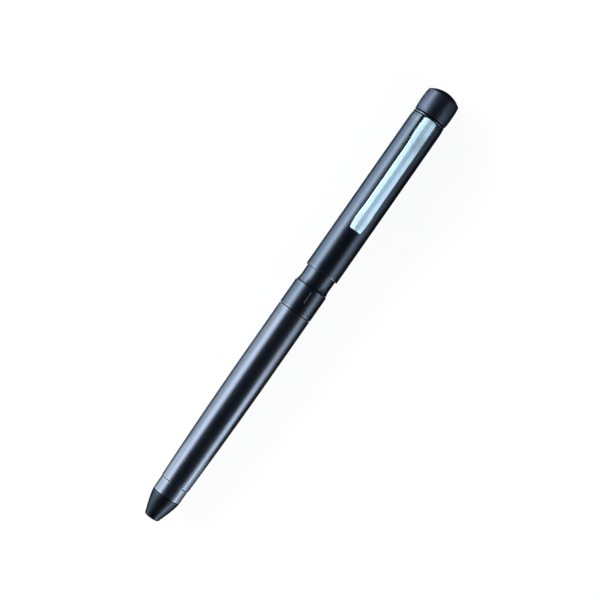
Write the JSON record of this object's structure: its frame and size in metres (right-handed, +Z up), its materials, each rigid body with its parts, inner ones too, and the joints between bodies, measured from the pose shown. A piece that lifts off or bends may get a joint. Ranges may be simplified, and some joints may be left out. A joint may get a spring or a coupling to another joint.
{
  "type": "multifunction pen",
  "caption": "Slim twist-action multifunction pen with ballpoint refills and a pencil unit inside, a sprung pocket clip, an index ring and a domed push cap over an eraser.",
  "frame": {"origin": "centre of the footprint on the surface that the pen lies on", "axes": "+X from the tip to the cap along the barrel, +Z up through the clip"},
  "size_m": [0.142, 0.0102, 0.0118],
  "materials": {
    "nose_black": "satin black lacquer",
    "barrel_satin": "dark blue-black anodised, finely brushed round the barrel",
    "clip_satin": "satin, pale blue-grey",
    "cap_black": "matt black anodised",
    "spring_steel": "drawn wire and bright turned steel",
    "turned_brass": "turned",
    "ivory_plastic": "moulded acetal",
    "grey_plastic": "moulded",
    "black_plastic": "moulded",
    "red_plastic": "moulded",
    "eraser_rubber": "matt white",
    "graphite": "pencil lead"
  },
  "bodies": {
    "core": {"index_ring": "barrel_satin", "joint_sleeve": "turned_brass", "retaining_ring": "spring_steel", "guide_plate": "spring_steel", "carriage": "ivory_plastic", "red_slider": "red_plastic", "red_return_spring": "spring_steel", "red_ink_tube": "red_plastic", "red_ball_tip": "turned_brass", "black_return_spring": "spring_steel", "pencil_return_spring": "spring_steel"},
    "front_barrel": {"nose_cone": "nose_black", "front_ring": "barrel_satin", "lower_barrel": "barrel_satin"},
    "black_slide_body": {"black_slider": "black_plastic"},
    "black_refill": {"black_ink_tube": "black_plastic", "black_ball_tip": "turned_brass"},
    "pencil_slide_body": {"pencil_slider": "grey_plastic"},
    "pencil_refill": {"pencil_tube": "grey_plastic", "pencil_tip": "spring_steel", "pencil_chuck": "turned_brass", "chuck_ring": "turned_brass", "chuck_spring": "spring_steel", "lead": "graphite"},
    "rear": {"neck_collar": "barrel_satin", "upper_barrel": "barrel_satin", "cam_sleeve": "black_plastic", "rear_liner": "black_plastic", "knock_spring": "spring_steel"},
    "clip": {"clip": "clip_satin"},
    "knock": {"push_rod": "ivory_plastic", "eraser_holder": "spring_steel", "eraser": "eraser_rubber"},
    "cap": {"push_cap": "cap_black"}
  },
  "joints": [
    {"name": "barrel_unscrew", "type": "slide", "parent": "core", "child": "front_barrel", "axis": [-1, 0, 0], "range_m": [0, 0.075]},
    {"name": "barrel_twist", "type": "hinge", "parent": "core", "child": "rear", "pos_m": [0.009, 0, 0.0051], "axis": [1, 0, 0], "range_deg": [-60, 60]},
    {"name": "black_slide", "type": "slide", "parent": "core", "child": "black_slide_body", "axis": [-1, 0, 0], "range_m": [-0.00551, 0.00551], "deforming": ["black_return_spring"]},
    {"name": "black_tilt", "type": "hinge", "parent": "black_slide_body", "child": "black_refill", "pos_m": [-0.0015, -0.00199, 0.00625], "axis": [0, -0.5, -0.866], "range_deg": [-0.77, 0.77]},
    {"name": "pencil_slide", "type": "slide", "parent": "core", "child": "pencil_slide_body", "axis": [-1, 0, 0], "range_m": [-0.00551, 0.00551], "deforming": ["pencil_return_spring"]},
    {"name": "pencil_tilt", "type": "hinge", "parent": "pencil_slide_body", "child": "pencil_refill", "pos_m": [-0.0015, 0.00199, 0.00625], "axis": [0, -0.5, 0.866], "range_deg": [-0.77, 0.77]},
    {"name": "cap_press", "type": "slide", "parent": "rear", "child": "knock", "axis": [1, 0, 0], "range_m": [-0.0003, 0], "stiffness_N_per_m": 600, "deforming": ["knock_spring"]},
    {"name": "cap_pull", "type": "slide", "parent": "knock", "child": "cap", "axis": [1, 0, 0], "range_m": [0, 0.012]},
    {"name": "clip_flex", "type": "hinge", "parent": "rear", "child": "clip", "pos_m": [0.056, 0, 0.0102], "axis": [0, 1, 0], "range_deg": [0, 3], "stiffness_Nm_per_rad": 1.5}
  ],
  "couplings": [
    {"joint": "black_slide", "follows": "barrel_twist", "m_per_rad": 0.0052521},
    {"joint": "black_tilt", "follows": "barrel_twist", "ratio": 0.012771},
    {"joint": "pencil_slide", "follows": "barrel_twist", "m_per_rad": -0.0052521},
    {"joint": "pencil_tilt", "follows": "barrel_twist", "ratio": -0.012771}
  ]
}
